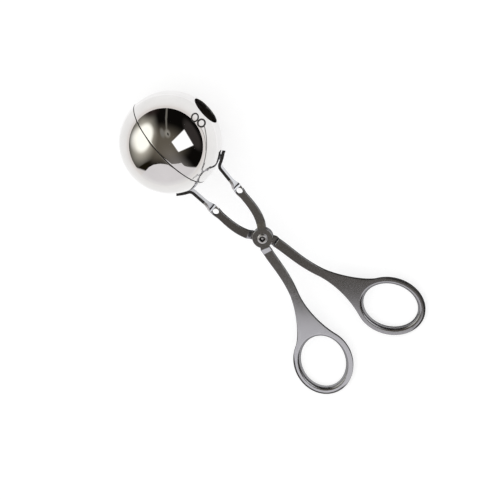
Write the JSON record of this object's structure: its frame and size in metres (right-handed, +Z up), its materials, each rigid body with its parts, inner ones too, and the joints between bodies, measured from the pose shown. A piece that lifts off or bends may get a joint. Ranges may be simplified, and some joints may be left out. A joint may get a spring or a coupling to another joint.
{
  "type": "meatball tongs",
  "caption": "Meatball tongs: scissor-action steel arms with finger rings that cross at a rivet and carry drained half-ball cups, which close into a ball.",
  "frame": {"origin": "on the table under the middle of the closed tongs' bounding box, with the tongs lying on the ball and on the lips of both finger rings", "axes": "+X towards the cup of the upper arm, across the handles; +Y from the finger rings to the ball; +Z up from the table"},
  "size_m": [0.073, 0.166, 0.048],
  "materials": {
    "polished_steel": "mirror-polished stainless steel",
    "satin_steel": "satin stainless steel sheet",
    "rivet_steel": "satin stainless steel, pressed"
  },
  "bodies": {
    "upper": {"upper_arm": "satin_steel", "cup_right": "polished_steel"},
    "lower": {"lower_arm": "satin_steel", "cup_left": "polished_steel", "rivet": "rivet_steel"}
  },
  "joints": [
    {"name": "rivet_hinge", "type": "hinge", "parent": "upper", "child": "lower", "pos_m": [0, -0.00275, 0.01418], "axis": [0, -0.1572, 0.9876], "range_deg": [0, 60]}
  ]
}
